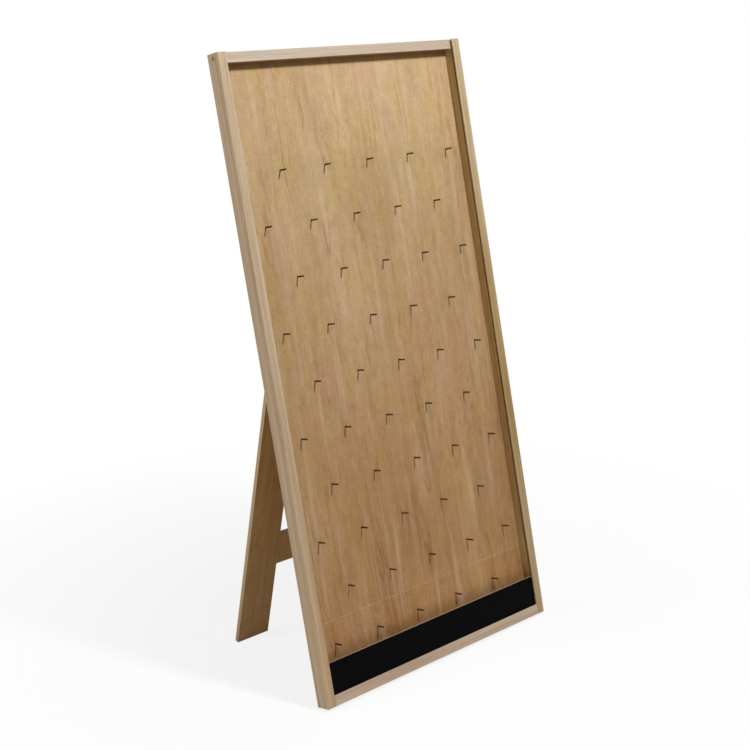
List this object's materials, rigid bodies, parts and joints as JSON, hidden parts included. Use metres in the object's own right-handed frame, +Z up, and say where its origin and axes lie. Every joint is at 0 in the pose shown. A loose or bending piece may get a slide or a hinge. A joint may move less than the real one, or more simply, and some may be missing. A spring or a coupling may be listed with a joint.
{
  "type": "prize drop game board",
  "caption": "Standing wooden drop board with staggered pegs, a clear sliding front, a black strip at the foot and a folding rear leg.",
  "frame": {"origin": "middle of the floor space that the standing board covers, on the floor", "axes": "+Z up, +Y from the pegged front to the leg behind, +X to the right seen from the front"},
  "size_m": [0.6096, 0.3494, 1.1929],
  "materials": {
    "frame_wood": "planed hardwood, clear oil",
    "panel_plywood": "birch plywood, clear oil",
    "leg_plywood": "plywood, clear oil, sawn edges",
    "clear_plastic": "polished clear acrylic",
    "black_plastic": "plain matte black",
    "peg_steel": "darkened steel wire",
    "screw_steel": "yellow-brown zinc",
    "hinge_steel": "zinc-plated steel"
  },
  "bodies": {
    "board": {"left_post": "frame_wood", "right_post": "frame_wood", "top_rail": "frame_wood", "bottom_rail": "frame_wood", "back_panel": "panel_plywood", "black_strip": "black_plastic", "hinge_batten": "frame_wood", "frame_screws": "screw_steel", "panel_screws": "screw_steel", "peg_nails": "peg_steel", "batten_brads": "screw_steel", "sheet_rest_pins": "hinge_steel", "hinge_batten_screws": "hinge_steel", "left_hinge_board_leaf": "hinge_steel", "left_hinge_pin": "hinge_steel", "right_hinge_board_leaf": "hinge_steel", "right_hinge_pin": "hinge_steel"},
    "leg": {"easel_leg": "leg_plywood", "left_hinge_leg_leaf": "hinge_steel", "right_hinge_leg_leaf": "hinge_steel", "hinge_leg_screws": "hinge_steel"},
    "sheet": {"clear_sheet": "clear_plastic"}
  },
  "joints": [
    {"name": "leg_fold", "type": "hinge", "parent": "board", "child": "leg", "pos_m": [0, 0.02808, 0.65098], "axis": [-1, 0, 0], "range_deg": [0, 26.5]},
    {"name": "sheet_slide", "type": "slide", "parent": "board", "child": "sheet", "axis": [0, 0.2334, 0.9724], "range_m": [0, 1]}
  ]
}
